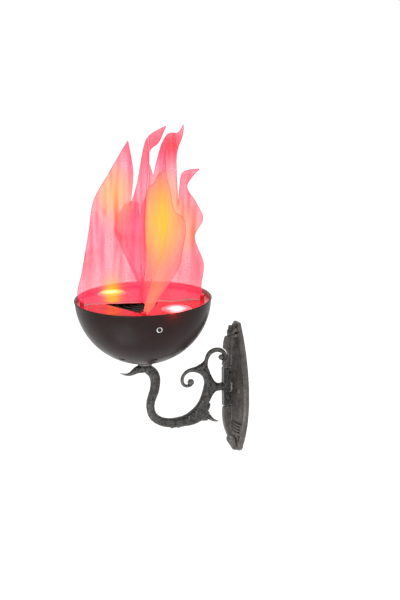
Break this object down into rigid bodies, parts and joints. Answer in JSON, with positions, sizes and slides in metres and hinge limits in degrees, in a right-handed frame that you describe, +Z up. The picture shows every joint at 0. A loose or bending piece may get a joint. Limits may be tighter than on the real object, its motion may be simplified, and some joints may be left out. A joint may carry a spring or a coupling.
{
  "type": "torch sconce",
  "caption": "Wall light with silk flames blown up from a round bowl by a fan, on a cast scroll bracket with a tall wall plate.",
  "frame": {"origin": "middle of the two wall-screw holes, on the wall plane", "axes": "+Z up, +Y into the wall, +X along the wall; the light stands out towards -Y"},
  "size_m": [0.3022, 0.3811, 0.775],
  "materials": {
    "cast_bracket": "sand-cast iron, hammered texture, satin dark grey paint",
    "bowl_paint": "spun steel, satin dark grey paint",
    "black_steel": "pressed steel, matte black paint",
    "zinc_steel": "zinc-plated steel",
    "bright_washer": "chromed steel",
    "dark_screw": "blackened steel",
    "gasket_rubber": "moulded rubber",
    "black_plastic": "glass-filled moulded plastic",
    "white_plastic": "moulded plastic",
    "socket_ceramic": "glazed ceramic",
    "reflector": "vacuum-coated reflector",
    "lamp_glass": "pressed lamp glass, lit",
    "amber_filter": "amber plastic film, lit",
    "red_film": "red transparent plastic film, lit from below",
    "silk": "thin flame silk, lit from below"
  },
  "bodies": {
    "sconce": {"amber_filter": "amber_filter", "arm": "cast_bracket", "bowl": "bowl_paint", "bowl_nut": "zinc_steel", "bowl_screw_nuts": "zinc_steel", "bowl_screw_washers": "bright_washer", "bowl_screws": "dark_screw", "bowl_washer": "zinc_steel", "cable_gland": "black_plastic", "deck": "black_steel", "deck_brackets": "zinc_steel", "deck_screws": "zinc_steel", "driver_case": "black_plastic", "driver_tray": "zinc_steel", "fan_frame": "black_plastic", "fan_guard": "zinc_steel", "fan_screws": "zinc_steel", "foot_screws": "zinc_steel", "foot_washers": "zinc_steel", "front_lamp_bezel": "bright_washer", "front_lamp_glass": "lamp_glass", "front_lamp_reflector": "reflector", "front_lamp_socket": "socket_ceramic", "gland_nut": "black_plastic", "mounting_plate": "zinc_steel", "mouth_film": "red_film", "nipple": "zinc_steel", "plate_screws": "dark_screw", "rear_lamp_bezel": "bright_washer", "rear_lamp_glass": "lamp_glass", "rear_lamp_reflector": "reflector", "rear_lamp_socket": "socket_ceramic", "seat_gasket": "gasket_rubber", "silk_clips": "zinc_steel", "silk_cross": "silk", "silk_main": "silk", "terminal_block": "white_plastic", "tray_nuts": "zinc_steel", "wall_plate": "cast_bracket"},
    "fan_rotor": {"fan_rotor": "black_plastic"}
  },
  "joints": [
    {"name": "fan_spin", "type": "hinge", "parent": "sconce", "child": "fan_rotor", "pos_m": [0, -0.23, 0.205], "axis": [0, 0, 1], "continuous": true}
  ]
}
